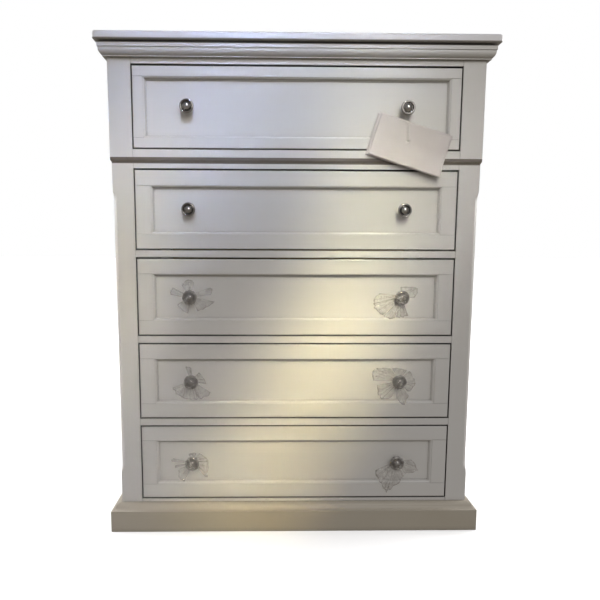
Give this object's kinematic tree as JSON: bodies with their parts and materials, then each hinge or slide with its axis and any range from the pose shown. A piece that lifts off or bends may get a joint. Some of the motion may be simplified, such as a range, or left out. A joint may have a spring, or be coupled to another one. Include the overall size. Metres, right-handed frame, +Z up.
{
  "type": "tall chest of drawers",
  "caption": "Tall white-painted chest with a moulded cornice, waist and base, inset framed drawer fronts that slide out, and round polished knobs.",
  "frame": {"origin": "on the floor under the centre of the top board, which is the centre of the bounding box in plan", "axes": "+X to the right seen from the front, -Y out of the drawer fronts, +Z up"},
  "size_m": [0.99, 0.51, 1.27],
  "materials": {
    "white_paint": "off-white satin paint over wood, soft clear reflections",
    "drawer_wood": "sealed light hardwood",
    "plywood": "plain plywood",
    "polished_metal": "polished nickel",
    "steel": "zinc-plated steel",
    "clear_film": "clear crinkled packing film",
    "card": "matt pale card, blank",
    "string": "thin twisted cotton"
  },
  "bodies": {
    "case": {"top_board": "white_paint", "cornice_moulding": "white_paint", "base_moulding": "white_paint", "waist_moulding": "white_paint", "front_post_left": "white_paint", "front_post_right": "white_paint", "rear_post_left": "white_paint", "rear_post_right": "white_paint", "side_rails": "white_paint", "side_panels": "white_paint", "front_top_rail": "white_paint", "waist_rail_upper": "white_paint", "waist_rail_lower": "white_paint", "divider_rails": "white_paint", "bottom_rail": "white_paint", "back_rails": "drawer_wood", "slide_bearers": "drawer_wood", "back_panel": "plywood", "bottom_board": "plywood", "top_screws": "steel", "slides_case_members": "steel"},
    "drawer_1": {"drawer_1_front": "white_paint", "drawer_1_box": "drawer_wood", "drawer_1_bottom": "plywood", "drawer_1_knobs": "polished_metal", "drawer_1_knob_screws": "steel", "drawer_1_slides": "steel", "hang_tag": "card", "tag_string": "string"},
    "drawer_2": {"drawer_2_front": "white_paint", "drawer_2_box": "drawer_wood", "drawer_2_bottom": "plywood", "drawer_2_knobs": "polished_metal", "drawer_2_knob_screws": "steel", "drawer_2_slides": "steel"},
    "drawer_3": {"drawer_3_front": "white_paint", "drawer_3_box": "drawer_wood", "drawer_3_bottom": "plywood", "drawer_3_knobs": "polished_metal", "drawer_3_knob_screws": "steel", "drawer_3_slides": "steel", "drawer_3_film": "clear_film"},
    "drawer_4": {"drawer_4_front": "white_paint", "drawer_4_box": "drawer_wood", "drawer_4_bottom": "plywood", "drawer_4_knobs": "polished_metal", "drawer_4_knob_screws": "steel", "drawer_4_slides": "steel", "drawer_4_film": "clear_film"},
    "drawer_5": {"drawer_5_front": "white_paint", "drawer_5_box": "drawer_wood", "drawer_5_bottom": "plywood", "drawer_5_knobs": "polished_metal", "drawer_5_knob_screws": "steel", "drawer_5_slides": "steel", "drawer_5_film": "clear_film"}
  },
  "joints": [
    {"name": "drawer_1_slide", "type": "slide", "parent": "case", "child": "drawer_1", "axis": [0, -1, 0], "range_m": [0, 0.3]},
    {"name": "drawer_2_slide", "type": "slide", "parent": "case", "child": "drawer_2", "axis": [0, -1, 0], "range_m": [0, 0.3], "deforming": ["hang_tag"]},
    {"name": "drawer_3_slide", "type": "slide", "parent": "case", "child": "drawer_3", "axis": [0, -1, 0], "range_m": [0, 0.3]},
    {"name": "drawer_4_slide", "type": "slide", "parent": "case", "child": "drawer_4", "axis": [0, -1, 0], "range_m": [0, 0.3]},
    {"name": "drawer_5_slide", "type": "slide", "parent": "case", "child": "drawer_5", "axis": [0, -1, 0], "range_m": [0, 0.3]}
  ]
}
